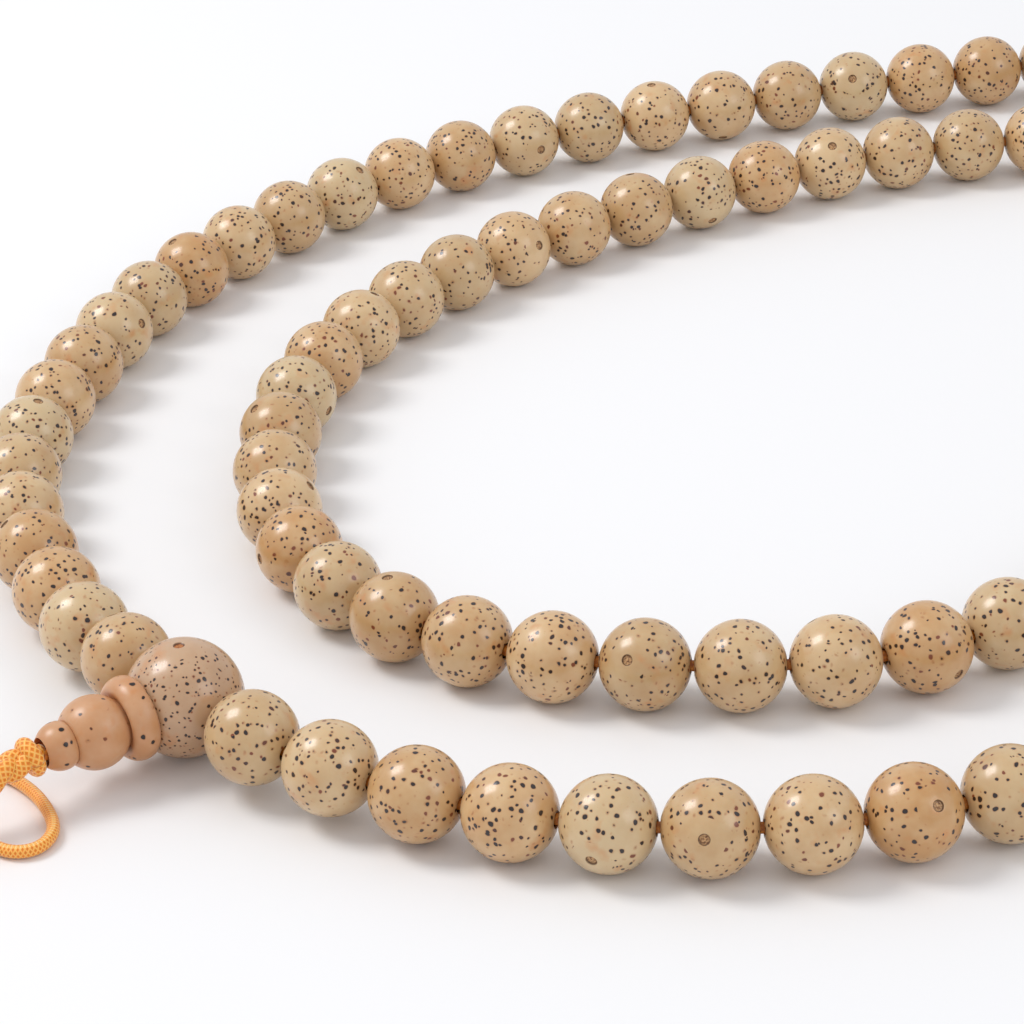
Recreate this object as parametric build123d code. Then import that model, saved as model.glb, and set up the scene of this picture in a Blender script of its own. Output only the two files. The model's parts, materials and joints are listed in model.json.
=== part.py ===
"""A mala: seed beads on one stringing cord, a guru bead, a stupa bead and a knotted tail.

The strand lies on a table as a doubled loop that crosses over itself once. Lengths are in millimetres.
Beads are numbered along the strand, starting on the right-hand side of the guru bead.
"""

from build123d import *
from bisect import bisect_right
from math import acos, cos, pi, radians, sqrt, tan
import os

# ---------------------------------------------------------------- driving dimensions
bead_count = 108
bead_diameter = 10.0
bead_gap = 0.15          # play between one bead and the next
bead_bore = 1.8
bore_rim = 0.25          # eased edge at each mouth of a bore
moon_diameter = 1.2      # the seed's own round pit
moon_depth = 0.2

guru_diameter = 12.8
guru_strand_bore = 2.0
guru_tail_bore = 3.0

stupa_play = 0.15        # between the stupa bead's seat and the guru bead
flange_diameter = 9.4
flange_back = 4.9        # distances along the stupa bead's axis, from the guru bead's centre
flange_front = 8.2
flange_edge = 1.3
ball_diameter = 8.0
ball_centre = 10.9
knob_diameter = 5.3
knob_centre = 15.0
stupa_bore = 3.0

cord_diameter = 1.2      # stringing cord
cord_corner = 1.2        # its bend inside the guru bead
cord_side_gap = 0.1      # between its two ends, side by side in the stupa bead

lead_in = 4.5            # how far a free cord goes on straight from what it leaves
braid_diameter = 3.4     # knotted section of the tail
braid_play = 0.15        # between the stupa bead's end and the first knot
tail_diameter = 1.4      # the two thin cords after it
tail_side_gap = 0.1
knot_diameter = 3.4
knot_length = 3.2
knot_edge = 0.8

guru_reach = 3.2         # beads on each side that the guru bead holds up off the table
crossing_reach = 3.0     # beads on each side of the crossing that are lifted over the lower strand
lift_step = 0.02         # how closely that lift is worked out
plan_steps = 1600        # points that the plan's curve is measured with
scale_rounds = 3         # times that the plan's scale is corrected for the length of its humps

# Plan of the strand, anticlockwise from the right of the guru bead, for 10 mm beads. It is scaled
# as a whole so that the beads fill it. The upper strand passes over the lower one at crossing_place.
strand_plan = [
    (-72, -75.5), (-60, -85), (-42, -94), (-22, -99), (-2, -98), (8, -95.5),
    (29, -88), (52, -79), (74, -65), (93, -46), (106, -23), (111, 3), (107, 30), (94, 52), (74, 66), (53, 72),
    (31, 72), (11, 69), (-8, 62), (-26, 52.5), (-42.5, 41), (-56, 25.5), (-65, 7.5), (-68, -12.5),
    (-66, -32.5), (-56.5, -50.5), (-40.5, -62.5), (-21, -67.5), (-1, -67.5), (17.5, -59),
    (33, -46), (47, -30), (60, -11), (71, 11), (78, 34), (82, 58), (79, 81), (68, 96.5), (51, 102),
    (34, 99.5), (14, 96.5), (-5.5, 92), (-25, 86.5), (-44, 78.5), (-60.5, 67.5), (-74.5, 52.5),
    (-86, 35.5), (-93, 16.5), (-98, -3.5), (-97.5, -23.5), (-91.5, -43), (-82.5, -61), (-79, -65),
]
crossing_place = (82, 61.5)

# Routes of the free cords, measured from the guru bead's centre, with heights above the table.
# Each starts from what it leaves: straight on for lead_in, and then through these points.
braid_route = [
    (-22.8, -16.3, 3.7), (-28.6, -20.0, 1.8), (-35.4, -21.9, 1.8), (-42.0, -24.3, 1.8),
]
near_tail_route = [
    (-50.6, -23.2, 0.8), (-51.8, -18.6, 0.8), (-49.6, -12.2, 0.8), (-44.8, -6.4, 0.8), (-38.0, -2.4, 0.8),
    (-30.6, -0.6, 0.8), (-24.0, -1.4, 0.8), (-18.9, -4.3, 0.8), (-15.6, -8.2, 0.8), (-13.5, -12.8, 0.8),
    (-12.9, -16.2, 0.8), (-14.2, -19.0, 0.8), (-16.9, -19.5, 0.8), (-19.4, -17.6, 0.8), (-22.2, -18.9, 0.8),
    (-25.6, -22.0, 0.8), (-30.4, -25.4, 0.8), (-35.5, -27.9, 1.7),
]
far_tail_route = [
    (-51.4, -29.2, 0.8), (-56.0, -34.4, 0.8), (-57.2, -41.0, 0.8), (-54.0, -47.0, 0.8), (-47.5, -50.0, 0.8),
    (-40.0, -49.4, 0.8), (-33.2, -46.0, 0.8), (-29.0, -40.4, 1.7),
]

# Where each seed's moon pit faces, in degrees from straight up, round the bore towards the loop's
# outer side. The strand's seeds that are not listed follow one another by a fixed step.
moon_turns = {
    1: 200, 2: 245, 3: 170, 4: 290, 5: 106, 6: 70, 7: 215, 8: 53, 9: 190, 106: 230, 107: 195, 108: 0,
}
moon_leans = {5: -11, 6: -4, 8: 16}
moon_step = 137.5
moon_lean_limit = 25

# Beads with a node each, and the ranges that share a node.
single_beads = [*range(1, 13), *range(46, 63), *range(92, 109)]
bead_groups = [(13, 28), (29, 45), (63, 77), (78, 91)]

# ---------------------------------------------------------------- derived values
bead_radius = bead_diameter / 2
guru_radius = guru_diameter / 2
bead_pitch = bead_diameter + bead_gap
guru_pitch = guru_diameter + bead_gap
cord_side = (cord_diameter + cord_side_gap) / 2
tail_side = (tail_diameter + tail_side_gap) / 2
knob_end = knob_centre + sqrt((knob_diameter / 2) ** 2 - (stupa_bore / 2) ** 2)
braid_start = knob_end + braid_play
UP = Vector(0, 0, 1)


# ---------------------------------------------------------------- the strand's line
def hump(distance, reach):
    """A smooth rise: 1 in the middle and 0 from reach outwards."""
    return cos(pi * distance / (2 * reach)) ** 2 if abs(distance) < reach else 0.0


def plan_samples():
    """Points along the closed plan with the length up to each, from its first point on."""
    curve = Spline([Vector(x, y) for x, y in strand_plan], periodic=True)
    points = [
        curve.position_at(n / plan_steps, position_mode=PositionMode.PARAMETER) for n in range(plan_steps + 1)
    ]
    return points, running_lengths(points)


def running_lengths(points):
    """The length along a list of points up to each of them."""
    lengths = [0.0]
    for before, after in zip(points, points[1:]):
        lengths.append(lengths[-1] + (after - before).length)
    return lengths


def point_at(points, lengths, length):
    """The point at this length along a list of points."""
    n = min(bisect_right(lengths, length), len(lengths) - 1)
    share = (length - lengths[n - 1]) / (lengths[n] - lengths[n - 1])
    return points[n - 1] + (points[n] - points[n - 1]) * share


def strand_gaps(plan, lengths, lift):
    """The points between one bead and the next, in order, for an upper strand lifted by lift.

    The first lies between the guru bead and bead 1, the last between the last bead and the guru bead.
    """
    target = bead_count * bead_pitch + guru_pitch
    place = Vector(*crossing_place)
    first_pass = range(plan_steps // 2)
    crossing_at = lengths[min(first_pass, key=lambda n: (plan[n] - place).length)]
    scale = target / lengths[-1]
    for _ in range(scale_rounds):
        risen = []
        for point, length in zip(plan, lengths):
            from_guru = max(0.0, min(length * scale, target - guru_pitch - length * scale))
            height = bead_radius + (guru_radius - bead_radius) * hump(from_guru, guru_reach * bead_pitch)
            height += lift * hump((length - crossing_at) * scale, crossing_reach * bead_pitch)
            risen.append(Vector(point.X * scale, point.Y * scale, height))
        along = running_lengths(risen)
        scale *= target / along[-1]
    return [point_at(risen, along, n * bead_pitch) for n in range(bead_count + 1)]


def bead_centres(gaps):
    """The middle of each bead, halfway between the gaps on either side of it."""
    return [(before + after) / 2 for before, after in zip(gaps, gaps[1:])]


def closest(centres):
    """The least distance between the centres of two beads that aren't neighbours."""
    return min((one - other).length for n, one in enumerate(centres) for other in centres[n + 2:])


def strand():
    """The gap points, with the upper strand lifted just until its beads clear those below."""
    plan, lengths = plan_samples()
    low, high = 0.0, 1.2 * bead_pitch
    while high - low > lift_step:
        middle = (low + high) / 2
        if closest(bead_centres(strand_gaps(plan, lengths, middle))) < bead_pitch:
            low = middle
        else:
            high = middle
    return strand_gaps(plan, lengths, high), high


def rounded_path(points, radii):
    """Straight runs joined by tangent arcs, one radius for each inner point."""
    edges, start = [], points[0]
    for before, corner, after, radius in zip(points, points[1:], points[2:], radii):
        back, ahead = (before - corner).normalized(), (after - corner).normalized()
        half_turn = (pi - acos(max(-1.0, min(1.0, back.dot(ahead))))) / 2
        reach = radius * tan(half_turn)
        middle = (back + ahead).normalized() * (radius / cos(half_turn) - radius)
        edges.append(Edge.make_line(start, corner + back * reach))
        arc_end = corner + ahead * reach
        edges.append(Edge.make_three_point_arc(corner + back * reach, corner + middle, arc_end))
        start = arc_end
    edges.append(Edge.make_line(start, points[-1]))
    return Wire(edges)


def tube(path, diameter):
    """A round cord along a path."""
    section = Plane(origin=path @ 0, z_dir=path % 0) * Circle(diameter / 2)
    return sweep(section, path=path)


# ---------------------------------------------------------------- beads
def seed_frame(centre, along):
    """A bead's own plane: X along its bore, Z as near to up as the bore lets it be."""
    across = UP.cross(along).normalized()
    return Plane(origin=centre, x_dir=along, z_dir=along.cross(across).normalized())


def eased_bore(diameter, length):
    """A bore along X with a small cone at each mouth, as a cutting tool centred on the origin."""
    tool = Rot(0, 90, 0) * Cylinder(diameter / 2, length * 2)
    cone = Cone(diameter / 2, diameter / 2 + 2 * bore_rim, 2 * bore_rim)
    tool += Rot(0, 90, 0) * Pos(0, 0, length / 2) * cone
    return tool + Rot(0, -90, 0) * Pos(0, 0, length / 2) * cone


def ball(radius):
    """A sphere whose poles lie on the bore and whose seam is opposite the moon pit."""
    return Rot(0, 90, 0) * Sphere(radius)


def moon_pit(radius, lean):
    """A shallow round dish at the top, as a cutting tool, leaned along the bore."""
    dish_radius = ((moon_diameter / 2) ** 2 + moon_depth**2) / (2 * moon_depth)
    return Rot(0, lean, 0) * Pos(0, 0, radius - moon_depth + dish_radius) * Sphere(dish_radius)


def moon_place(number):
    """The turn and lean of a bead's moon pit."""
    turn = moon_turns.get(number, number * moon_step % 360)
    lean = moon_leans.get(number, (number * moon_step / 3) % (2 * moon_lean_limit) - moon_lean_limit)
    return turn, lean


def seed_bead(number, centre, along):
    """One round seed with its bore and its moon pit."""
    turn, lean = moon_place(number)
    mouth = 2 * sqrt(bead_radius**2 - (bead_bore / 2 + bore_rim) ** 2)
    solid = ball(bead_radius) - eased_bore(bead_bore, mouth) - moon_pit(bead_radius, lean)
    return seed_frame(centre, along) * (Rot(turn, 0, 0) * solid)


def guru_bead(frame):
    """The large bead, drilled as a T: the strand passes along X and the tail leaves along -Y."""
    mouth = 2 * sqrt(guru_radius**2 - (guru_strand_bore / 2 + bore_rim) ** 2)
    solid = ball(guru_radius) - eased_bore(guru_strand_bore, mouth)
    solid -= Pos(0, -guru_radius / 2, 0) * Rot(90, 0, 0) * Cylinder(guru_tail_bore / 2, guru_radius)
    solid -= Sphere(cord_side + cord_corner + cord_side_gap)
    return frame * (solid - moon_pit(guru_radius, 0))


def stupa_bead(frame):
    """Flange, ball and end knob turned in one piece along -Y, seated on the guru bead."""
    flange = Cylinder(flange_diameter / 2, flange_front - flange_back)
    flange = fillet(flange.edges().filter_by(GeomType.CIRCLE), flange_edge)
    solid = Pos(0, 0, (flange_front + flange_back) / 2) * flange
    solid += Pos(0, 0, ball_centre) * Sphere(ball_diameter / 2)
    solid += Pos(0, 0, knob_centre) * Sphere(knob_diameter / 2)
    solid -= Sphere(guru_radius + stupa_play)
    solid -= Cylinder(stupa_bore / 2, 3 * knob_end)
    return frame * (Rot(90, 0, 0) * solid)


# ---------------------------------------------------------------- cords
def strand_radii(points):
    """Arcs between the beads: as large as lets the cord stay near the middle of its bores."""
    off_centre = (bead_bore - cord_diameter) / 4
    radii = []
    for before, corner, after in zip(points, points[1:], points[2:]):
        turn = pi - radians((before - corner).get_angle(after - corner))
        reach = min(0.4 * bead_pitch, off_centre / tan(turn / 4))
        radii.append(reach / tan(turn / 2))
    return radii


def stringing_cord(gaps, frame):
    """One cord: in through the stupa bead, round the whole strand, and back out beside itself."""
    along, out = frame.x_dir, frame.y_dir * -1
    near_side, far_side = along * cord_side, along * -cord_side
    start = frame.origin + out * braid_start
    points = [start + near_side, frame.origin + near_side, *gaps, frame.origin + far_side, start + far_side]
    radii = strand_radii(points)
    radii[0] = radii[-1] = cord_corner
    return tube(rounded_path(points, radii), cord_diameter)


def free_radii(points):
    """The largest arc that each pair of runs leaves room for."""
    radii = []
    for before, corner, after in zip(points, points[1:], points[2:]):
        back, ahead = before - corner, after - corner
        turn = 180 - back.get_angle(ahead)
        radii.append(0.45 * min(back.length, ahead.length) / tan(radians(turn) / 2))
    return radii


def free_cord(name, points, diameter):
    """A cord that lies free, with its radii printed."""
    radii = free_radii(points)
    path = FilletPolyline(*points, radius=radii)
    solid = tube(path, diameter)
    share = solid.volume / (pi * diameter**2 / 4 * path.length)
    print(name, "length", round(path.length, 1), "volume over section times length", round(share, 4))
    print("   radii in diameters", [round(radius / diameter, 1) for radius in radii])
    return solid


def end_knot(points):
    """The knot on a thin cord's end, face to face with it."""
    heading = (points[-1] - points[-2]).normalized()
    barrel = Cylinder(knot_diameter / 2, knot_length)
    barrel = fillet(barrel.edges().filter_by(GeomType.CIRCLE), knot_edge)
    return Plane(origin=points[-1] + heading * (knot_length / 2), z_dir=heading) * barrel


# ---------------------------------------------------------------- assembly
gaps, crossing_lift = strand()
guru_centre = (gaps[0] + gaps[-1]) / 2
guru_frame = seed_frame(guru_centre, (gaps[0] - gaps[-1]).normalized())
outwards = guru_frame.y_dir * -1
table_below_guru = Vector(guru_centre.X, guru_centre.Y, 0)
centres = bead_centres(gaps)


def free_points(start, heading, route):
    """A free cord's points: straight on from its start, and then through its route."""
    return [start, start + heading * lead_in] + [table_below_guru + Vector(*point) for point in route]


def placed_bead(number):
    """The bead with this number, in its place on the strand."""
    along = (gaps[number] - gaps[number - 1]).normalized()
    return seed_bead(number, centres[number - 1], along)


parts = {f"bead_{number:03d}": placed_bead(number) for number in single_beads}
for first, last in bead_groups:
    parts[f"beads_{first:03d}_to_{last:03d}"] = Compound([placed_bead(n) for n in range(first, last + 1)])
parts["guru_bead"] = guru_bead(guru_frame)
parts["stupa_bead"] = stupa_bead(guru_frame)
parts["stringing_cord"] = stringing_cord(gaps, guru_frame)

braid_points = free_points(guru_centre + outwards * braid_start, outwards, braid_route)
braid_end = braid_points[-1]
braid_heading = (braid_end - braid_points[-2]).normalized()
beside = UP.cross(braid_heading) * tail_side
near_tail_points = free_points(braid_end - beside, braid_heading, near_tail_route)
far_tail_points = free_points(braid_end + beside, braid_heading, far_tail_route)
parts["tail_braid"] = free_cord("tail_braid", braid_points, braid_diameter)
parts["tail_cord_near"] = free_cord("tail_cord_near", near_tail_points, tail_diameter)
parts["tail_cord_far"] = free_cord("tail_cord_far", far_tail_points, tail_diameter)
parts["end_knot_near"] = end_knot(near_tail_points)
parts["end_knot_far"] = end_knot(far_tail_points)

# The origin is on the table, under the middle of the strand.
across = [centre.X for centre in centres]
deep = [centre.Y for centre in centres]
middle = Vector((min(across) + max(across)) / 2, (min(deep) + max(deep)) / 2, 0)

os.makedirs("parts", exist_ok=True)
for name, solid in parts.items():
    export_step(Pos(middle * -1) * solid, f"parts/{name}.step")

print("crossing lift", round(crossing_lift, 2), "nodes", len(parts))
print("guru", guru_centre - middle, "stupa axis", outwards)
for number in single_beads:
    along = (gaps[number] - gaps[number - 1]).normalized()
    print("spin", number, *(round(value, 5) for value in (*(centres[number - 1] - middle), *along)))
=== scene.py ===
"""Looks of the mala: polished seed beads, turned stupa bead and braided satin cords.

Laid out as an add-on: one operator for each piece or group of like pieces, and one for the stage.
Sizes are in millimetres unless a property says otherwise, and MM turns them to Blender's metres.
"""

import json
from math import cos, pi, radians, sin, sqrt

import bpy
from mathutils import Matrix, Vector


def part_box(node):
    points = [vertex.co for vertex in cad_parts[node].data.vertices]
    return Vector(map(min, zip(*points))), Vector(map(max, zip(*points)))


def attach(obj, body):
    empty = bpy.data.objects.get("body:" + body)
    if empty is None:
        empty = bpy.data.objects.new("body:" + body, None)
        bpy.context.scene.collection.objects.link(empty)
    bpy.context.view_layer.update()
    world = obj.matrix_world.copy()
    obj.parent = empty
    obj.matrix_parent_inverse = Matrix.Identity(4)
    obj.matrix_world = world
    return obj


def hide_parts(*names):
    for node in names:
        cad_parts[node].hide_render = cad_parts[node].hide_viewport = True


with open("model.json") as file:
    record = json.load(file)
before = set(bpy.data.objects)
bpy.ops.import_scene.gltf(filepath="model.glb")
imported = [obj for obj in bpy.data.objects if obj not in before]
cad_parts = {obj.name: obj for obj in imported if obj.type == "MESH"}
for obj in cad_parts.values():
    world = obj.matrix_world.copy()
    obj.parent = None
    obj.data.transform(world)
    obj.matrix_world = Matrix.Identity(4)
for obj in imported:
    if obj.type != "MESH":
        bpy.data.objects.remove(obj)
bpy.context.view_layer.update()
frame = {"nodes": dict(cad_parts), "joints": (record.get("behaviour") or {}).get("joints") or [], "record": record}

bl_info = {
    "name": "Mala prayer beads",
    "version": (1, 0, 0),
    "blender": (4, 5, 0),
    "location": "View3D > Sidebar > Mala",
    "description": "Builds the looks of a mala of seed beads around its CAD frame",
    "category": "Object",
}

MM = 0.001
UP = Vector((0, 0, 1))
BEAD_COUNT = 108
LOOSE_BODY = "strand"

# Free cords' points, measured from the guru bead's centre, with heights above the table. Each
# starts straight on from what it leaves.
BRAID_ROUTE = [(-22.8, -16.3, 3.7), (-28.6, -20.0, 1.8), (-35.4, -21.9, 1.8), (-42.0, -24.3, 1.8)]
NEAR_TAIL_ROUTE = [
    (-50.6, -23.2, 0.8), (-51.8, -18.6, 0.8), (-49.6, -12.2, 0.8), (-44.8, -6.4, 0.8), (-38.0, -2.4, 0.8),
    (-30.6, -0.6, 0.8), (-24.0, -1.4, 0.8), (-18.9, -4.3, 0.8), (-15.6, -8.2, 0.8), (-13.5, -12.8, 0.8),
    (-12.9, -16.2, 0.8), (-14.2, -19.0, 0.8), (-16.9, -19.5, 0.8), (-19.4, -17.6, 0.8), (-22.2, -18.9, 0.8),
    (-25.6, -22.0, 0.8), (-30.4, -25.4, 0.8), (-35.5, -27.9, 1.7),
]
FAR_TAIL_ROUTE = [
    (-51.4, -29.2, 0.8), (-56.0, -34.4, 0.8), (-57.2, -41.0, 0.8), (-54.0, -47.0, 0.8), (-47.5, -50.0, 0.8),
    (-40.0, -49.4, 0.8), (-33.2, -46.0, 0.8), (-29.0, -40.4, 1.7),
]
LEAD_IN = 4.5
BRAID_START = 17.335
BRAID_DIAMETER = 3.4
TAIL_DIAMETER = 1.4
TAIL_SIDE = 0.75

# Where each seed's moon pit faces: degrees round the bore from straight up, and along it.
MOON_TURNS = {
    1: 200, 2: 245, 3: 170, 4: 290, 5: 106, 6: 70, 7: 215, 8: 53, 9: 190, 106: 230, 107: 195, 108: 0,
}
MOON_LEANS = {5: -11, 6: -4, 8: 16}
MOON_STEP = 137.5
MOON_LEAN_LIMIT = 25
LEAN_STEP = 5


# ------------------------------------------------------------------ sizes and colours
class SeedSizes(bpy.types.PropertyGroup):
    """Sizes of the seed beads and of what is drawn on them."""

    diameter: bpy.props.FloatProperty(
        name="Bead", description="Diameter of a seed bead", default=10.0 * MM, subtype="DISTANCE",
        unit="LENGTH",
    )
    guru_diameter: bpy.props.FloatProperty(
        name="Guru bead", description="Diameter of the guru bead", default=12.8 * MM, subtype="DISTANCE",
        unit="LENGTH",
    )
    bore: bpy.props.FloatProperty(
        name="Bore", description="Diameter of a seed bead's bore", default=1.8 * MM, subtype="DISTANCE",
        unit="LENGTH",
    )
    moon: bpy.props.FloatProperty(
        name="Moon pit", description="Diameter of the seed's round pit", default=1.25 * MM,
        subtype="DISTANCE", unit="LENGTH",
    )
    star_spacing: bpy.props.FloatProperty(
        name="Star spacing", description="Mean distance between dots, in millimetres", default=0.80, min=0.2
    )


class Colours(bpy.types.PropertyGroup):
    """Colours of the finishes, as sRGB hex."""

    seed_pale: bpy.props.StringProperty(name="Seed, pale", description="Palest seed flesh", default="D6B487")
    seed_warm: bpy.props.StringProperty(name="Seed, warm", description="Warmest seed flesh", default="C08F58")
    guru_pale: bpy.props.StringProperty(name="Guru, pale", description="Its palest flesh", default="C29E7C")
    guru_warm: bpy.props.StringProperty(name="Guru, warm", description="Its warmest flesh", default="AC8460")
    stupa_pale: bpy.props.StringProperty(name="Stupa, pale", description="Its palest flesh", default="D0A27C")
    stupa_warm: bpy.props.StringProperty(name="Stupa, warm", description="Its warmest flesh", default="C48D60")
    star: bpy.props.StringProperty(name="Stars", description="Fibre ends seen as dots", default="1C0C08")
    # Of the three cord colours, the first is painted shade for the low places between the threads, and the last is
    # a painted highlight for the threads' crests.
    cord_painted_shade: bpy.props.StringProperty(name="Cord, deep", description="Between threads", default="E07A10")
    cord: bpy.props.StringProperty(name="Cord", description="Satin cord's own colour", default="F5981F")
    cord_light: bpy.props.StringProperty(name="Cord, light", description="Where it shines", default="FBC56A")


# ------------------------------------------------------------------ small helpers
def linear(hex_colour):
    """A linear RGBA colour from sRGB hex."""
    channels = [int(hex_colour[n:n + 2], 16) / 255 for n in (0, 2, 4)]
    return [c / 12.92 if c <= 0.04045 else ((c + 0.055) / 1.055) ** 2.4 for c in channels] + [1.0]


def add_node(tree, kind, settings=None, **inputs):
    """A shader node with its settings; an input is a value, or a socket that it is linked to."""
    node = tree.nodes.new("ShaderNode" + kind)
    for key, value in (settings or {}).items():
        setattr(node, key, value)
    for key, value in inputs.items():
        name = key.replace("_", " ")
        socket = node.inputs[int(key[1:])] if key[1:].isdigit() else node.inputs[name]
        if isinstance(value, bpy.types.NodeSocket):
            tree.links.new(value, socket)
        else:
            socket.default_value = value
    return node


def maths(tree, operation, *values, clamp=False):
    """The result of a Math node."""
    inputs = {f"i{n}": value for n, value in enumerate(values)}
    return add_node(tree, "Math", {"operation": operation, "use_clamp": clamp}, **inputs).outputs[0]


def remap(tree, value, low, high, to_low=0.0, to_high=1.0, kind="LINEAR"):
    """A value moved from one range to another, and held at that range's ends."""
    settings = {"interpolation_type": kind}
    return add_node(tree, "MapRange", settings, Value=value, From_Min=low, From_Max=high, To_Min=to_low,
                    To_Max=to_high).outputs[0]


def blend(tree, share, first, second):
    """Two colours, or two numbers, mixed by the second one's share."""
    if isinstance(second, (int, float)) or getattr(second, "type", "") == "VALUE":
        return add_node(tree, "Mix", {"data_type": "FLOAT"}, i0=share, i2=first, i3=second).outputs[0]
    return add_node(tree, "Mix", {"data_type": "RGBA"}, i0=share, i6=first, i7=second).outputs[2]


def noise(tree, place, scale, detail, **more):
    """The value of a noise texture."""
    return add_node(tree, "TexNoise", Vector=place, Scale=scale, Detail=detail, **more).outputs["Fac"]


def ramp(tree, factor, stops):
    """A colour ramp's colour output, from (position, colour) stops."""
    node = add_node(tree, "ValToRGB", Fac=factor)
    while len(node.color_ramp.elements) < len(stops):
        node.color_ramp.elements.new(0.5)
    for element, (position, colour) in zip(node.color_ramp.elements, stops):
        element.position = position
        element.color = colour
    return node.outputs["Color"]


def bumped(tree, height, strength, depth):
    """The normal of a surface raised by a height, at most this many millimetres deep."""
    return add_node(tree, "Bump", Strength=strength, Distance=depth * MM, Height=height).outputs[0]


def new_material(name):
    """An empty node material, and its tree."""
    material = bpy.data.materials.new(name)
    material.use_nodes = True
    material.node_tree.nodes.clear()
    return material, material.node_tree


def surface(tree, **inputs):
    """Joins a Principled surface to a new material output."""
    shader = add_node(tree, "BsdfPrincipled", **inputs)
    add_node(tree, "OutputMaterial", Surface=shader.outputs[0])


def only(*objects):
    """Deselects everything, then selects these, the first one active."""
    bpy.ops.object.select_all(action="DESELECT")
    for each in objects:
        each.select_set(True)
    bpy.context.view_layer.objects.active = objects[0]


def select_faces(piece, wanted):
    """In edit mode, selects the faces that wanted says yes to."""
    bpy.ops.mesh.select_all(action="DESELECT")
    bpy.ops.object.mode_set(mode="OBJECT")
    for polygon in piece.data.polygons:
        polygon.select = wanted(polygon)
    bpy.ops.object.mode_set(mode="EDIT")


def remove(*objects):
    """Deletes helper objects with their data."""
    for each in objects:
        data = each.data
        bpy.data.objects.remove(each)
        if data.users == 0:
            (bpy.data.meshes if isinstance(data, bpy.types.Mesh) else bpy.data.curves).remove(data)


def body_of(node):
    """The body that a CAD node belongs to."""
    bodies = frame["record"]["behaviour"]["bodies"]
    return next(body for body, nodes in bodies.items() if node in nodes)


def box_centre(node):
    """The middle of a CAD node's box."""
    low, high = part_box(node)
    return (low + high) / 2


# ------------------------------------------------------------------ where the beads lie
def group_range(node):
    """The first and last bead number of a group node."""
    words = node.split("_")
    return int(words[1]), int(words[3])


def group_centres(node, before):
    """The centres of a group's beads in strand order, starting next to the point before."""
    copy = frame["nodes"][node].copy()
    copy.data = copy.data.copy()
    copy.parent = None
    bpy.context.collection.objects.link(copy)
    only(copy)
    bpy.ops.object.mode_set(mode="EDIT")
    bpy.ops.mesh.select_all(action="SELECT")
    bpy.ops.mesh.remove_doubles(threshold=1e-6)
    bpy.ops.mesh.separate(type="LOOSE")
    bpy.ops.object.mode_set(mode="OBJECT")
    loose = list(bpy.context.selected_objects)
    left = [sum((Vector(corner) for corner in each.bound_box), Vector()) / 8 for each in loose]
    remove(*loose)
    ordered = []
    while left:
        nearest = min(left, key=lambda centre: (centre - before).length)
        left.remove(nearest)
        ordered.append(nearest)
        before = nearest
    return ordered


def bead_centres():
    """Every seed bead's centre by its number, with the guru bead's centre at 0 and after the last."""
    centres = {0: guru_centre(), BEAD_COUNT + 1: guru_centre()}
    for node in frame["nodes"]:
        if node.startswith("bead_"):
            centres[int(node[-3:])] = box_centre(node)
    for node in sorted(frame["nodes"]):
        if node.startswith("beads_"):
            first, last = group_range(node)
            found = group_centres(node, centres[first - 1])
            centres.update(zip(range(first, last + 1), found))
    return centres


def guru_centre():
    """The guru bead's centre, which the stupa bead's axis goes through."""
    return Vector(stupa_joint()["pos_m"])


def stupa_axis():
    """The direction in which the stupa bead and the tail leave the guru bead."""
    return Vector(stupa_joint()["axis"]).normalized()


def stupa_joint():
    """The joint that the stupa bead turns on."""
    return next(joint for joint in frame["joints"] if joint["child"] == "stupa")


def bead_frame(centre, along):
    """A bead's place: X along its bore, Z as near to up as the bore lets it be."""
    across = UP.cross(along).normalized()
    upright = along.cross(across).normalized()
    return Matrix.Translation(centre) @ Matrix((along, across, upright)).transposed().to_4x4()


def moon_place(number):
    """The turn and lean of a seed's moon pit, in degrees, the lean to the nearest step."""
    turn = MOON_TURNS.get(number, number * MOON_STEP % 360)
    lean = MOON_LEANS.get(number, (number * MOON_STEP / 3) % (2 * MOON_LEAN_LIMIT) - MOON_LEAN_LIMIT)
    return turn, LEAN_STEP * round(lean / LEAN_STEP)


# ------------------------------------------------------------------ beads
SEED_SEGMENTS = 56
SEED_RINGS = 28
PIT_RINGS = 2                # rings of the ball round its pole that the pit's surround takes up
RIM_EASE = 0.10
RIM_ANGLE = 40               # degrees: edges sharper than this are eased
SMOOTH_ANGLE = 50
# Steps between one bead's draws and the next one's, which spread them evenly over 0 to 1.
DRAW_STEPS = (0.618034, 0.754878, 0.569840)
GURU_STRAND_BORE = 2.0
GURU_TAIL_BORE = 3.0
GURU_DRAW = 5


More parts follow.
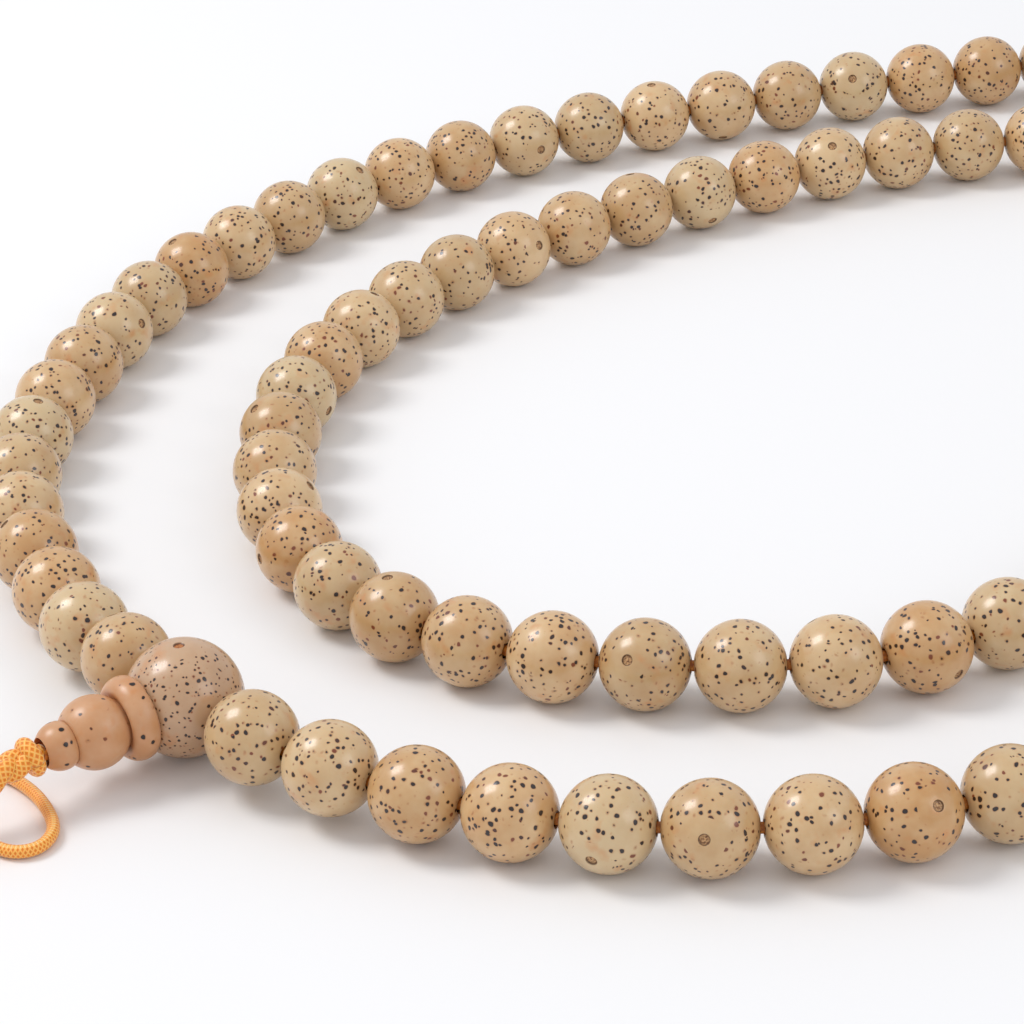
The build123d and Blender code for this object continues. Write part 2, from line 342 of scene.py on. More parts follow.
def seed_shape(name, radius, bore, lean, tail_bore=None):
    """A polished seed with its pit at the top, drilled along X.

    The pit is modelled at the ball's pole. The bore leans from X, as the pit leans along the bore.
    """
    bpy.ops.object.select_all(action="DESELECT")
    bpy.ops.mesh.primitive_uv_sphere_add(segments=SEED_SEGMENTS, ring_count=SEED_RINGS, radius=radius)
    bead = bpy.context.active_object
    bead.name = name
    below_cap = radius * cos((PIT_RINGS + 0.5) * pi / SEED_RINGS)
    bpy.ops.object.mode_set(mode="EDIT")
    select_faces(bead, lambda face: face.center.z > below_cap)
    bpy.ops.mesh.dissolve_faces()
    pit = bpy.context.scene.mala_seed.moon / 2
    cap = radius * sin(PIT_RINGS * pi / SEED_RINGS)
    # From the surround inwards: lip, rim, wall, floor and the mound in the middle.
    steps = [
        (cap - pit * 1.15, radius * 0.0125), (pit * 0.15, radius * 0.002), (pit * 0.12, -pit * 0.30),
        (pit * 0.30, -pit * 0.05), (pit * 0.28, pit * 0.12),
    ]
    for inwards, rise in steps:
        bpy.ops.mesh.inset(thickness=inwards, depth=rise)
    bpy.ops.mesh.poke()
    bpy.ops.object.mode_set(mode="OBJECT")
    drill(bead, bore / 2, Matrix.Rotation(radians(90 - lean), 4, "Y"), 3 * radius)
    if tail_bore:
        turned = Matrix.Rotation(radians(90), 4, "X")
        drill(bead, tail_bore / 2, turned @ Matrix.Translation((0, 0, radius)), 2 * radius)
    return bead


def drill(bead, radius, place, length):
    """Cuts one straight bore."""
    bpy.ops.object.select_all(action="DESELECT")
    bpy.ops.mesh.primitive_cylinder_add(vertices=32, radius=radius, depth=length)
    bit = bpy.context.active_object
    bit.data.transform(place)
    only(bead)
    bpy.ops.object.modifier_add(type="BOOLEAN")
    cut = bead.modifiers[-1]
    cut.object = bit
    cut.operation = "DIFFERENCE"
    cut.solver = "EXACT"
    bpy.ops.object.modifier_apply(modifier=cut.name)
    remove(bit)


def ease_rims(bead):
    """Rounds the sharp rims of the bores and shades the rest smooth."""
    only(bead)
    bpy.ops.object.modifier_add(type="BEVEL")
    ease = bead.modifiers[-1]
    ease.width = RIM_EASE * MM
    ease.segments = 2
    ease.limit_method = "ANGLE"
    ease.angle_limit = radians(RIM_ANGLE)
    bpy.ops.object.modifier_apply(modifier=ease.name)
    bpy.ops.object.shade_smooth_by_angle(angle=radians(SMOOTH_ANGLE))


def seed_attributes(bead, radius):
    """Stores each point's place on the seed, in radii with the pit at the top, for the patterns."""
    places = bead.data.attributes.new("seed", "FLOAT_VECTOR", "POINT")
    values = [value / radius for vertex in bead.data.vertices for value in vertex.co]
    places.data.foreach_set("vector", values)


def tinted(bead, number):
    """Stores the bead's own three numbers from 0 to 1, which its colour and pattern are drawn with."""
    draws = [(number * step) % 1.0 for step in DRAW_STEPS]
    tint = bead.data.attributes.new("tint", "FLOAT_VECTOR", "POINT")
    tint.data.foreach_set("vector", draws * len(bead.data.vertices))


def placed_seed(number, shape, centres):
    """A copy of a seed shape, with its own mesh, in the bead's place on the strand."""
    turn, lean = moon_place(number)
    bead = shape.copy()
    bead.data = shape.data.copy()
    bpy.context.collection.objects.link(bead)
    tinted(bead, number)
    along = (centres[number + 1] - centres[number - 1]).normalized()
    own_turn = Matrix.Rotation(radians(turn), 4, "X") @ Matrix.Rotation(radians(lean), 4, "Y")
    bead.data.transform(bead_frame(centres[number], along) @ own_turn)
    return bead


class MALA_OT_seed_beads(bpy.types.Operator):
    """Model the seed beads, one piece for each node, in their places on the strand"""

    bl_idname = "mala.seed_beads"
    bl_label = "Seed beads"

    def execute(self, context):
        sizes = context.scene.mala_seed
        centres = bead_centres()
        material = seed_material()
        shapes = {}
        for number in range(1, BEAD_COUNT + 1):
            lean = moon_place(number)[1]
            if lean not in shapes:
                shapes[lean] = seed_shape("seed_shape", sizes.diameter / 2, sizes.bore, lean)
                ease_rims(shapes[lean])
                seed_attributes(shapes[lean], sizes.diameter / 2)
        for node in sorted(frame["nodes"]):
            if not node.startswith("bead"):
                continue
            numbers = [int(node[-3:])]
            if node.startswith("beads_"):
                first, last = group_range(node)
                numbers = list(range(first, last + 1))
            beads = [placed_seed(n, shapes[moon_place(n)[1]], centres) for n in numbers]
            only(*beads)
            if len(beads) > 1:
                bpy.ops.object.join()
            piece = bpy.context.active_object
            piece.name = "seed_" + node
            piece.data.materials.clear()
            piece.data.materials.append(material)
            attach(piece, body_of(node))
            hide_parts(node)
        remove(*shapes.values())
        return {"FINISHED"}


class MALA_OT_guru_bead(bpy.types.Operator):
    """Model the large three-hole bead that closes the strand"""

    bl_idname = "mala.guru_bead"
    bl_label = "Guru bead"

    def execute(self, context):
        sizes = context.scene.mala_seed
        radius = sizes.guru_diameter / 2
        bead = seed_shape("guru", radius, GURU_STRAND_BORE * MM, 0, GURU_TAIL_BORE * MM)
        ease_rims(bead)
        seed_attributes(bead, radius)
        tinted(bead, GURU_DRAW)
        along = -UP.cross(stupa_axis()).normalized()
        bead.data.transform(bead_frame(guru_centre(), along))
        bead.data.materials.append(guru_material())
        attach(bead, LOOSE_BODY)
        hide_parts("guru_bead")
        return {"FINISHED"}


# ------------------------------------------------------------------ materials
# What is drawn on a seed's flesh, as sRGB hex. The colours for the pit's wall and for the bores are painted shade.
GREENISH = "BBB391"
STAIN = "C98244"
STAR_RIM = "A8642F"
STAR_RUST = "7A3A1A"
PIT_WALL_SHADE = "3A2110"
BORE_SHADE = "5A3416"

DRAWS_APART = 37.0           # how far apart in the patterns two beads' draws put them, in radii
SEED_IOR = 1.54
FLESH_GLOW = (1.0, 0.55, 0.3)
FLESH_DEPTH = 1.2
GRAIN_DEPTH = 0.05
NEVER = 9.0                  # a height, in radii, that no point of a bead reaches


def seed_flesh(tree, own, draws, pale, warm, greying):
    """The flesh's colour: a tone of the bead's own, soft clouds and a few orange stains."""
    clouds = noise(tree, own, 1.3, 3.0, Roughness=0.55)
    own_tone = maths(tree, "MULTIPLY_ADD", draws["X"], 0.42, -0.24)
    tone = maths(tree, "ADD", clouds, own_tone, clamp=True)
    flesh = ramp(tree, tone, [(0.25, linear(pale)), (0.75, linear(warm))])
    greyed = blend(tree, maths(tree, "MULTIPLY", draws["Y"], greying), flesh, linear(GREENISH))
    stained = remap(tree, noise(tree, own, 2.4, 2.0), 0.60, 0.78, 0.0, 0.55)
    return blend(tree, stained, greyed, linear(STAIN))


def seed_stars(tree, own, height, star_size, spacing, bare, kept_share):
    """How far each point is from its dot's middle, 1 at the dot's edge, and a draw of the dot's own.

    Each cell of the pattern has a dot of its own size. Some cells go without, and so does the
    flesh near the pit, above the height bare.
    """
    wander = add_node(tree, "TexNoise", Vector=own, Scale=5.0, Detail=1.0).outputs["Color"]
    shifted = add_node(tree, "VectorMath", {"operation": "MULTIPLY_ADD"}, i0=wander, i1=(0.10,) * 3, i2=own)
    cells = add_node(
        tree, "TexVoronoi", Vector=shifted.outputs["Vector"], Scale=1 / spacing, Randomness=0.95
    )
    size_draw, kept_draw, rust_draw = add_node(tree, "SeparateColor", Color=cells.outputs["Color"]).outputs
    size = remap(tree, size_draw, 0.0, 1.0, 0.55 * star_size, 1.25 * star_size)
    reach = maths(tree, "DIVIDE", cells.outputs["Distance"], size)
    left_out = remap(tree, kept_draw, kept_share, kept_share + 0.001, 0.0, 4.0)
    near_pit = remap(tree, height, bare, bare + 0.02, 0.0, 6.0)
    spread = maths(tree, "ADD", maths(tree, "ADD", reach, left_out), near_pit)
    return spread, rust_draw


def seed_tree(tree, pale, warm, greying, star_size, spacing, bare, kept_share=0.93):
    """The colour of a polished seed, with the sockets that its finish is made from.

    A cut palm seed's flesh is cream and waxy. Dark fibres run through it and end at the surface
    as small dots, a few of them rusty, and none round the pit.
    """
    place = add_node(tree, "Attribute", {"attribute_name": "seed"}).outputs["Vector"]
    tint = add_node(tree, "Attribute", {"attribute_name": "tint"}).outputs["Vector"]
    apart = add_node(tree, "VectorMath", {"operation": "SCALE"}, Vector=tint, Scale=DRAWS_APART)
    shifted = add_node(tree, "VectorMath", {"operation": "ADD"}, i0=place, i1=apart.outputs["Vector"])
    own = shifted.outputs["Vector"]
    draws = add_node(tree, "SeparateXYZ", Vector=tint).outputs
    parts = add_node(tree, "SeparateXYZ", Vector=place).outputs
    flesh = seed_flesh(tree, own, draws, pale, warm, greying)
    spread, rust_draw = seed_stars(tree, own, parts["Z"], star_size, spacing, bare, kept_share)
    star = remap(tree, spread, 0.80, 1.0, 1.0, 0.0, "SMOOTHSTEP")
    rim = remap(tree, spread, 0.9, 1.4, 0.5, 0.0, "SMOOTHSTEP")
    rimmed = blend(tree, rim, flesh, linear(STAR_RIM))
    dark = linear(bpy.context.scene.mala_colours.star)
    star_colour = blend(tree, remap(tree, rust_draw, 0.80, 0.95), dark, linear(STAR_RUST))
    colour = blend(tree, star, rimmed, star_colour)
    return {"place": place, "own": own, "parts": parts, "colour": colour, "star": star}


def finish_seed(tree, looks, radius, pit_colours):
    """Adds the pit's rough brown floor, painted shade on the pit's wall and inside the bores' mouths, and the
    polish to a seed's flesh.
    """
    across = maths(tree, "POWER", looks["parts"]["X"], 2.0)
    deep = maths(tree, "POWER", looks["parts"]["Y"], 2.0)
    off_pole = maths(tree, "SQRT", maths(tree, "ADD", across, deep))
    top = maths(tree, "GREATER_THAN", looks["parts"]["Z"], 0.0)
    edge = bpy.context.scene.mala_seed.moon / 2 / MM / radius
    in_pit = maths(tree, "MULTIPLY", remap(tree, off_pole, edge * 0.92, edge * 1.04, 1.0, 0.0), top)
    crumbs = noise(tree, looks["own"], 26.0, 4.0)
    floor = ramp(tree, crumbs, [(0.35, linear(pit_colours[0])), (0.62, linear(pit_colours[1]))])
    # Painted shade in the pit: its floor darkens towards its wall, and the wall itself is nearly the dark wall
    # colour.
    wall = remap(tree, off_pole, edge * 0.72, edge * 0.9, 0.0, 0.75)
    colour = blend(tree, in_pit, looks["colour"], blend(tree, wall, floor, linear(PIT_WALL_SHADE)))
    # Painted shade inside the bores: flesh that lies deeper than the bore's mouth is darkened to a dark brown,
    # except in the pit.
    from_middle = add_node(tree, "VectorMath", {"operation": "LENGTH"}, i0=looks["place"]).outputs["Value"]
    in_bore = remap(tree, from_middle, 0.93, 0.975, 0.85, 0.0)
    bore_shade_share = maths(tree, "SUBTRACT", in_bore, in_pit, clamp=True)
    bore_shaded = blend(tree, bore_shade_share, colour, linear(BORE_SHADE))
    grain = noise(tree, looks["own"], 14.0, 5.0)
    rough = blend(tree, in_pit, remap(tree, grain, 0.0, 1.0, 0.22, 0.40), 0.8)
    sunk = maths(tree, "MULTIPLY_ADD", looks["star"], -0.5, grain)
    bump = bumped(tree, blend(tree, in_pit, sunk, crumbs), 0.12, GRAIN_DEPTH)
    surface(tree, Base_Color=bore_shaded, Roughness=rough, Normal=bump, IOR=SEED_IOR, Coat_Weight=0.35,
            Coat_Roughness=0.14, Subsurface_Weight=0.12, Subsurface_Radius=FLESH_GLOW,
            Subsurface_Scale=FLESH_DEPTH * MM)


def seed_material():
    """Polished rattan-palm seed: cream and waxy, with dark fibre ends."""
    sizes, colours = bpy.context.scene.mala_seed, bpy.context.scene.mala_colours
    material, tree = new_material("polished_palm_seed")
    radius = sizes.diameter / MM / 2
    looks = seed_tree(tree, colours.seed_pale, colours.seed_warm, greying=0.35, star_size=0.30,
                      spacing=sizes.star_spacing / radius, bare=0.90)
    finish_seed(tree, looks, radius, ("6B4020", "C79A68"))
    return material


def guru_material():
    """The same seed, larger and pinker, with its dots set closer."""
    sizes, colours = bpy.context.scene.mala_seed, bpy.context.scene.mala_colours
    material, tree = new_material("polished_guru_seed")
    radius = sizes.guru_diameter / MM / 2
    looks = seed_tree(tree, colours.guru_pale, colours.guru_warm, greying=0.0, star_size=0.31,
                      spacing=0.76 * sizes.star_spacing / radius, bare=0.93)
    finish_seed(tree, looks, radius, ("8A4A1E", "C47A3C"))
    return material


# ------------------------------------------------------------------ turned stupa bead
# The turned outline, from the guru bead outwards: distance along the axis and radius.
FLANGE_FOOT = (5.0, 4.05)
FLANGE_EDGE = [(5.6, 4.5), (6.5, 4.7), (7.4, 4.5), (8.0, 3.95)]
NECK = (8.35, 3.55)
BALL = (10.9, 4.0)           # centre and radius
BALL_SHOWN = (-0.82, 0.80)   # from and to, in radii from its centre
GROOVE = (13.75, 2.15)
KNOB = (15.0, 2.65)
KNOB_SHOWN = (-0.25, 0.82)
KNOB_END = 0.83
STUPA_BORE = 3.0
STUPA_BORE_FOOT = 6.4
STUPA_STEPS = 64
STUPA_DRAW = 11


def ball_outline(ball, shown, steps):
    """The outline of the part of a ball that shows."""
    centre, radius = ball
    low, high = shown
    shares = [low + step * (high - low) / steps for step in range(steps + 1)]
    return [(centre + share * radius, radius * sqrt(1 - share * share)) for share in shares]


def stupa_outline():
    """The outline as (along, radius) points: flange, a narrow groove, ball, groove and end knob."""
    end = (KNOB[0] + KNOB_END * KNOB[1], STUPA_BORE / 2)
    return [
        FLANGE_FOOT, *FLANGE_EDGE, NECK, *ball_outline(BALL, BALL_SHOWN, 8), GROOVE,
        *ball_outline(KNOB, KNOB_SHOWN, 5), end,
    ]


def lathe(name, outline, steps):
    """A shell turned round Z from an outline of (along, radius) points."""
    mesh = bpy.data.meshes.new(name)
    mesh.from_pydata([(radius * MM, 0, along * MM) for along, radius in outline],
                     [(n, n + 1) for n in range(len(outline) - 1)], [])
    turned = bpy.data.objects.new(name, mesh)
    bpy.context.collection.objects.link(turned)
    only(turned)
    bpy.ops.object.mode_set(mode="EDIT")
    bpy.ops.mesh.select_all(action="SELECT")
    bpy.ops.mesh.spin(steps=steps, angle=2 * pi, center=(0, 0, 0), axis=(0, 0, 1))
    bpy.ops.mesh.select_all(action="SELECT")
    bpy.ops.mesh.remove_doubles(threshold=1e-6)
    bpy.ops.mesh.normals_make_consistent(inside=False)
    bpy.ops.object.mode_set(mode="OBJECT")
    return turned


def stupa_material():
    """Polished turned seed, pinkish tan and nearly plain, with a few fibre ends."""
    colours = bpy.context.scene.mala_colours
    material, tree = new_material("turned_palm_seed")
    looks = seed_tree(tree, colours.stupa_pale, colours.stupa_warm, greying=0.05, star_size=0.24,
                      spacing=0.28, bare=NEVER, kept_share=0.30)
    grain = noise(tree, looks["own"], 3.0, 6.0, Distortion=1.5)
    polish = remap(tree, grain, 0.0, 1.0, 0.25, 0.42)
    bump = bumped(tree, grain, 0.08, GRAIN_DEPTH)
    surface(tree, Base_Color=looks["colour"], Roughness=polish, Normal=bump, IOR=SEED_IOR,
            Subsurface_Weight=0.15, Subsurface_Radius=FLESH_GLOW, Subsurface_Scale=FLESH_DEPTH * MM)
    return material


class MALA_OT_stupa_bead(bpy.types.Operator):
    """Model the turned bead that sits on the guru bead"""

    bl_idname = "mala.stupa_bead"
    bl_label = "Stupa bead"

    def execute(self, context):
        outline = stupa_outline()
        bead = lathe("stupa", outline + [(STUPA_BORE_FOOT, STUPA_BORE / 2), FLANGE_FOOT], STUPA_STEPS)
        ease = bead.modifiers.new("round", "SUBSURF")
        ease.levels = 1
        ease.render_levels = 1
        only(bead)
        bpy.ops.object.modifier_apply(modifier=ease.name)
        bpy.ops.object.shade_smooth_by_angle(angle=radians(SMOOTH_ANGLE + 10))
        seed_attributes(bead, BALL[1] * MM)
        tinted(bead, STUPA_DRAW)
        axis = stupa_axis()
        along = -UP.cross(axis).normalized()
        upright = axis.cross(along).normalized()
        turn = Matrix((along, upright, axis)).transposed().to_4x4()
        bead.data.transform(Matrix.Translation(guru_centre()) @ turn)
        bead.data.materials.append(stupa_material())
        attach(bead, "stupa")
        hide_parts("stupa_bead")
        return {"FINISHED"}


# ------------------------------------------------------------------ cords
ROPE_STRANDS = 3
ROPE_PITCH = 9.6
STRAND_SHARE = 0.58          # a strand's radius, as a share of the rope's
PLAIT_DEPTH = 0.62           # how far the plait goes over and under, as a share of its sideways reach
PLAIT_STEP = 0.25
CORD_STEP = 0.3
WRAP_AT = 1.05
WRAP_RADIUS = 1.35
WRAP_SLANT = 0.25
WRAP_STEPS = 36
WRAP_SHARE = 0.9             # the wrap's thickness, as a share of a strand's
KNOT_LENGTH = 3.2
KNOT_STEPS = 60
KNOT_REACH = 0.95
KNOT_DEPTH = 0.75
KNOT_CORD_RADIUS = 0.66
STITCH_STEP = 0.42
STITCH = "FFE2A0"


def route_points(start, heading, route):
    """A free cord's points in metres: straight on from its start, and then through its route."""
    table = guru_centre()
    table.z = 0
    return [start, start + heading * LEAD_IN * MM] + [table + Vector(point) * MM for point in route]


def braid_points():
    """The tail rope's points, from the end of the stupa bead."""
    return route_points(guru_centre() + stupa_axis() * BRAID_START * MM, stupa_axis(), BRAID_ROUTE)


def tail_points(side, route):
    """A thin cord's points, from the rope's end, beside its pair."""
    rope = braid_points()
    heading = (rope[-1] - rope[-2]).normalized()
    beside = UP.cross(heading) * TAIL_SIDE * MM
    return route_points(rope[-1] + beside * side, heading, route)


def spline(name, points, diameter):
    """A curve of one open NURBS spline through a cord's points."""
    curve = bpy.data.curves.new(name, "CURVE")
    curve.dimensions = "3D"
    curve.resolution_u = 16
    curve.bevel_depth = diameter / 2
    curve.bevel_resolution = 6
    curve.use_fill_caps = True
    line = curve.splines.new("NURBS")
    line.points.add(len(points) - 1)
    for point, place in zip(line.points, points):
        point.co = (*place, 1.0)
    line.order_u = 3
    line.use_endpoint_u = True
    piece = bpy.data.objects.new(name, curve)
    bpy.context.collection.objects.link(piece)
    return piece


def line_along(points):
    """The smooth line of a cord: points close together, read from its own NURBS spline."""
    guide = spline("guide", points, 0)
    bpy.context.view_layer.update()
    mesh = bpy.data.meshes.new_from_object(guide)
    line = [vertex.co.copy() for vertex in mesh.vertices]
    bpy.data.meshes.remove(mesh)
    remove(guide)
    return line


def even_steps(line, step):
    """Points at an even spacing along a line, with the distance along it up to each."""
    total = sum((b - a).length for a, b in zip(line, line[1:]))
    count = max(2, round(total / step))
    places, run, n = [], 0.0, 0
    for index in range(count + 1):
        want = total * index / count
        while n < len(line) - 2 and run + (line[n + 1] - line[n]).length < want:
            run += (line[n + 1] - line[n]).length
            n += 1
        share = min(1.0, (want - run) / (line[n + 1] - line[n]).length)
        places.append((line[n].lerp(line[n + 1], share), want))
    return places


def frames_along(places):
    """Each place with its heading and two sides that turn no more than the line does."""
    side = None
    found = []
    for n, (point, run) in enumerate(places):
        after = places[min(n + 1, len(places) - 1)][0]
        before = places[max(n - 1, 0)][0]
        heading = (after - before).normalized()
        side = UP.cross(heading) if side is None else side - heading * side.dot(heading)
        side.normalize()
        found.append((point, run, side.copy(), heading.cross(side).normalized()))
    return found


def tube_mesh(name, centres, rings):
    """A closed tube from rings of points, with its run along, in millimetres, and round as a UV map."""
    sides = len(rings[0])
    vertices = [point for ring in rings for point in ring]
    faces = []
    for n in range(len(rings) - 1):
        for k in range(sides):
            j = (k + 1) % sides
            faces.append((n * sides + k, n * sides + j, (n + 1) * sides + j, (n + 1) * sides + k))
    faces.append(tuple(reversed(range(sides))))
    faces.append(tuple((len(rings) - 1) * sides + k for k in range(sides)))
    mesh = bpy.data.meshes.new(name)
    mesh.from_pydata(vertices, [], faces)
    runs = [0.0]
    for before, after in zip(centres, centres[1:]):
        runs.append(runs[-1] + (after - before).length / MM)
    uv = mesh.uv_layers.new(name="cord")
    for polygon in mesh.polygons:
        quad = len(polygon.loop_indices) == 4
        for corner, loop in enumerate(polygon.loop_indices):
            vertex = mesh.loops[loop].vertex_index
            ring, k = divmod(vertex, sides)
            share = k / sides
            if quad and share == 0 and corner in (1, 2):
                share = 1.0
            uv.data[loop].uv = (runs[ring], share)
    for polygon in mesh.polygons:
        polygon.use_smooth = True
    piece = bpy.data.objects.new(name, mesh)
    bpy.context.collection.objects.link(piece)
    return piece


def strand_tube(name, path, radius, sides=14):
    """A round tube along a path of (centre, side, up) places."""
    rings = []
    for point, side, up in path:
        rings.append([point + (side * cos(2 * pi * k / sides) + up * sin(2 * pi * k / sides)) * radius
                      for k in range(sides)])
    return tube_mesh(name, [point for point, _, _ in path], rings)


def path_frames(points):
    """(centre, side, up) for each of a list of points."""
    return [(point, side, up) for point, _, side, up in frames_along([(p, 0.0) for p in points])]


def plaited(line, reach):
    """The lines of a flat plait's strands: each weaves over and under as it goes from side to side."""
    found = []
    places = frames_along(even_steps(line, PLAIT_STEP * MM))
    for n in range(ROPE_STRANDS):
        points = []
        for point, run, side, up in places:
            phase = 2 * pi * (run / (ROPE_PITCH * MM) + n / ROPE_STRANDS)
            points.append(point + (side * sin(phase) + up * sin(2 * phase) * PLAIT_DEPTH) * reach)
        found.append(points)
    return found


def cord_material(name, braid_pitch, threads, stitched):
    """Satin polyester braid: bright orange, with a soft sheen along its fibres, painted shade between its threads
    and a painted highlight on their crests.
    """
    colours = bpy.context.scene.mala_colours
    material, tree = new_material(name)
    uv = add_node(tree, "UVMap", {"uv_map": "cord"}).outputs["UV"]
    parts = add_node(tree, "SeparateXYZ", Vector=uv).outputs
    along = maths(tree, "MULTIPLY", parts["X"], 2 * pi / braid_pitch)
    waves = []
    for turn in (threads, -threads):
        phase = maths(tree, "MULTIPLY_ADD", parts["Y"], 2 * pi * turn, along)
        waves.append(maths(tree, "SINE", phase))
    weave = maths(tree, "MAXIMUM", *waves)
    height = maths(tree, "MULTIPLY_ADD", noise(tree, uv, 9.0, 3.0), 0.6, weave)
    # Painted shade and painted highlight: the colour is darkest where the weave is low, between the threads, and
    # lightest where it is high.
    light = remap(tree, height, -0.2, 1.5)
    stops = [(0.1, colours.cord_painted_shade), (0.5, colours.cord), (0.95, colours.cord_light)]
    colour = ramp(tree, light, [(position, linear(shade)) for position, shade in stops])
    if stitched:
        stitches = maths(tree, "SINE", maths(tree, "MULTIPLY", parts["X"], 2 * pi / STITCH_STEP))
        row = maths(tree, "COMPARE", parts["Y"], 0.25, 0.045)
        share = remap(tree, maths(tree, "MULTIPLY", stitches, row), 0.1, 0.7, 0.0, 0.8)
        colour = blend(tree, share, colour, linear(STITCH))
    surface(tree, Base_Color=colour, Normal=bumped(tree, height, 0.5, 0.06), Roughness=0.42,
            Sheen_Weight=0.35, Sheen_Roughness=0.35, Subsurface_Weight=0.15,
            Subsurface_Radius=(1.0, 0.4, 0.1), Subsurface_Scale=0.6 * MM)
    return material


def finished_cord(piece, node, material):
    """Gives a cord its material, body and slot, and hides the CAD node that it stands for."""
    piece.data.materials.clear()
    piece.data.materials.append(material)
    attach(piece, LOOSE_BODY)
    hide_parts(node)
    return piece


class MALA_OT_tail_rope(bpy.types.Operator):
    """Model the thick plaited rope that leaves the stupa bead"""

    bl_idname = "mala.tail_rope"
    bl_label = "Tail rope"

    def execute(self, context):
        line = line_along(braid_points())
        radius = BRAID_DIAMETER * MM / 2
        strand_radius = radius * STRAND_SHARE
        strands = plaited(line, radius - strand_radius)
        pieces = [strand_tube("strand", path_frames(points), strand_radius) for points in strands]
        pieces.append(first_wrap(line, strand_radius))
        only(*pieces)
        bpy.ops.object.join()
        rope = bpy.context.active_object
        rope.name = "tail_rope"
        finished_cord(rope, "tail_braid", cord_material("satin_rope", 0.55, 7, False))
        return {"FINISHED"}


def first_wrap(line, strand_radius):
    """The turn of cord that is pulled tight round the rope where it meets the stupa bead."""
    point, _, side, up = frames_along(even_steps(line, WRAP_AT * MM))[1]
    heading = side.cross(up)
    ring = []
    for step in range(WRAP_STEPS + 1):
        turn = 2 * pi * step / WRAP_STEPS
        slant = heading * sin(turn) * WRAP_SLANT * MM
        ring.append(point + (side * cos(turn) + up * sin(turn)) * WRAP_RADIUS * MM + slant)
    return strand_tube("wrap", path_frames(ring), strand_radius * WRAP_SHARE)


class MALA_OT_thin_cords(bpy.types.Operator):
    """Model the two thin cords and the knots that end them"""

    bl_idname = "mala.thin_cords"
    bl_label = "Thin cords"

    def execute(self, context):
        material = cord_material("satin_thin_cord", 0.42, 6, True)
        for name, side, route in (("near", -1, NEAR_TAIL_ROUTE), ("far", 1, FAR_TAIL_ROUTE)):
            line = line_along(tail_points(side, route))
            places = frames_along(even_steps(line, CORD_STEP * MM))
            path = [(point, across, up) for point, _, across, up in places]
            cord = strand_tube("tail_cord_" + name + "_braid", path, TAIL_DIAMETER * MM / 2, 16)
            knot = end_knot("end_knot_" + name + "_tied", line)
            finished_cord(knot, "end_knot_" + name, material)
            finished_cord(cord, "tail_cord_" + name, material)
        return {"FINISHED"}


def end_knot(name, line):
    """An overhand knot pulled tight round the cord's end: a trefoil of the cord itself."""
    heading = (line[-1] - line[-2]).normalized()
    side = UP.cross(heading).normalized()
    up = heading.cross(side)
    middle = line[-1] + heading * KNOT_LENGTH * MM / 2
    points = []
    for step in range(KNOT_STEPS + 1):
        turn = 2 * pi * step / KNOT_STEPS
        across = (sin(turn) + 2 * sin(2 * turn)) / 3
        deep = (cos(turn) - 2 * cos(2 * turn)) / 3
        over = -sin(3 * turn)
        off_middle = (heading * across + up * deep) * KNOT_REACH + side * over * KNOT_DEPTH
        points.append(middle + off_middle * MM)
    return strand_tube(name, path_frames(points), KNOT_CORD_RADIUS * MM)


class MALA_OT_stringing_cord(bpy.types.Operator):
    """Give the stringing cord inside the beads its finish"""

    bl_idname = "mala.stringing_cord"
    bl_label = "Stringing cord"

    def execute(self, context):
        cord = frame["nodes"]["stringing_cord"]
        material, tree = new_material("twisted_polyester")
        place = add_node(tree, "TexCoord").outputs["Object"]
        fibres = noise(tree, place, 2500.0, 3.0)
        colour = ramp(tree, fibres, [(0.3, linear("9A4A0C")), (0.7, linear("D8811F"))])
        surface(tree, Base_Color=colour, Normal=bumped(tree, fibres, 0.5, 0.05), Roughness=0.55)
        cord.data.materials.clear()
        cord.data.materials.append(material)
        return {"FINISHED"}


# ------------------------------------------------------------------ stage
CAMERA_LENS = 126.0
CAMERA_FROM_GURU = (35.5, -324.8, 0)
CAMERA_HEIGHT = 198.46
CAMERA_PITCH = 27.94
CAMERA_ROLL = -3.25
FLOOR_WIDTH = 6.0            # metres
SKY_STRENGTH = 0.80
LIGHT_DISTANCE = 0.9         # metres
# Name, direction from the middle of the strand, width and height in metres, watts.
LIGHTS = [
    ("window", (-0.62, 0.12, 0.78), 0.30, 0.36, 3.4),
    ("room", (0.65, -0.5, 0.55), 0.40, 0.40, 1.1),
]


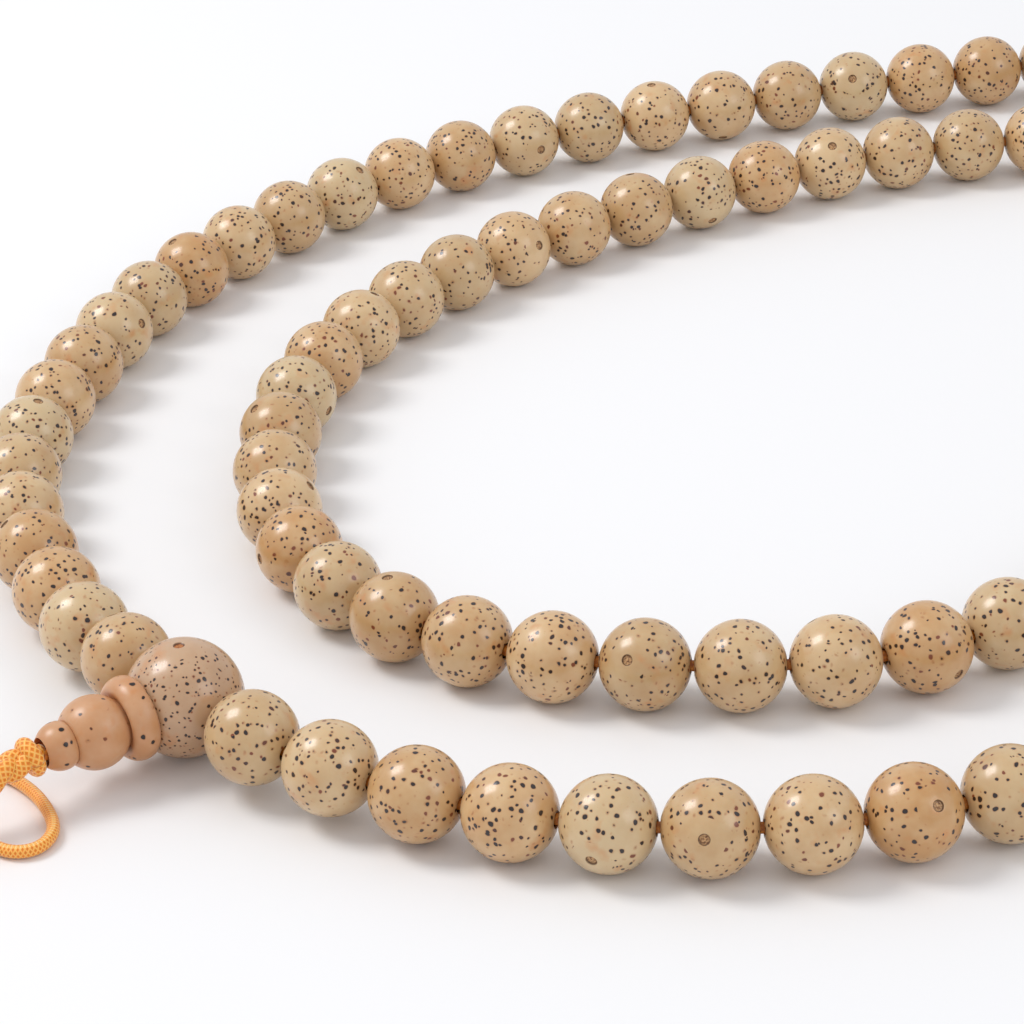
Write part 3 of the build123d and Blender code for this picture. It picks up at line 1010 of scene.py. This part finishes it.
class MALA_OT_stage(bpy.types.Operator):
    """Set the pale floor, soft studio light and camera"""

    bl_idname = "mala.stage"
    bl_label = "Stage"

    def execute(self, context):
        camera = bpy.data.objects.new("camera", bpy.data.cameras.new("camera"))
        context.collection.objects.link(camera)
        camera.data.lens = CAMERA_LENS
        camera.data.sensor_width = 36.0
        camera.data.clip_start = 0.01
        look_down = Matrix.Rotation(radians(90 - CAMERA_PITCH), 4, "X")
        roll = Matrix.Rotation(radians(CAMERA_ROLL), 4, "Z")
        stand = guru_centre() + Vector(CAMERA_FROM_GURU) * MM
        stand.z = CAMERA_HEIGHT * MM
        camera.matrix_world = Matrix.Translation(stand) @ look_down @ roll
        context.scene.camera = camera

        bpy.ops.object.select_all(action="DESELECT")
        bpy.ops.mesh.primitive_plane_add(size=FLOOR_WIDTH)
        floor = context.active_object
        floor.name = "floor"
        material, tree = new_material("white_board")
        surface(tree, Base_Color=linear("F0F0F1"), Roughness=0.55)
        floor.data.materials.append(material)

        context.scene.view_settings.view_transform = "Standard"
        world = context.scene.world or bpy.data.worlds.new("studio")
        context.scene.world = world
        world.use_nodes = True
        background = world.node_tree.nodes["Background"]
        background.inputs["Color"].default_value = linear("F6F7FA")
        background.inputs["Strength"].default_value = SKY_STRENGTH
        for name, toward, width, height, power in LIGHTS:
            lamp = bpy.data.lights.new(name, "AREA")
            lamp.shape = "RECTANGLE"
            lamp.size = width
            lamp.size_y = height
            lamp.energy = power
            light = bpy.data.objects.new(name, lamp)
            context.collection.objects.link(light)
            direction = Vector(toward).normalized()
            light.location = direction * LIGHT_DISTANCE
            light.rotation_euler = direction.to_track_quat("Z", "Y").to_euler()
        return {"FINISHED"}


STEPS = [
    MALA_OT_stage, MALA_OT_tail_rope, MALA_OT_thin_cords, MALA_OT_stringing_cord, MALA_OT_stupa_bead,
    MALA_OT_guru_bead, MALA_OT_seed_beads,
]
CLASSES = [SeedSizes, Colours] + STEPS


class MALA_PT_panel(bpy.types.Panel):
    """Lists the mala's sizes, colours and steps"""

    bl_idname = "MALA_PT_panel"
    bl_label = "Mala"
    bl_space_type = "VIEW_3D"
    bl_region_type = "UI"
    bl_category = "Mala"

    def draw(self, context):
        for group in (context.scene.mala_seed, context.scene.mala_colours):
            for name in group.__annotations__:
                self.layout.prop(group, name)
        for step in STEPS:
            self.layout.operator(step.bl_idname)


def register():
    for each in CLASSES + [MALA_PT_panel]:
        bpy.utils.register_class(each)
    bpy.types.Scene.mala_seed = bpy.props.PointerProperty(type=SeedSizes)
    bpy.types.Scene.mala_colours = bpy.props.PointerProperty(type=Colours)


def unregister():
    del bpy.types.Scene.mala_seed
    del bpy.types.Scene.mala_colours
    for each in reversed(CLASSES + [MALA_PT_panel]):
        bpy.utils.unregister_class(each)


def main():
    register()
    for step in STEPS:
        package, name = step.bl_idname.split(".")
        getattr(getattr(bpy.ops, package), name)()


if __name__ == "__main__":
    main()
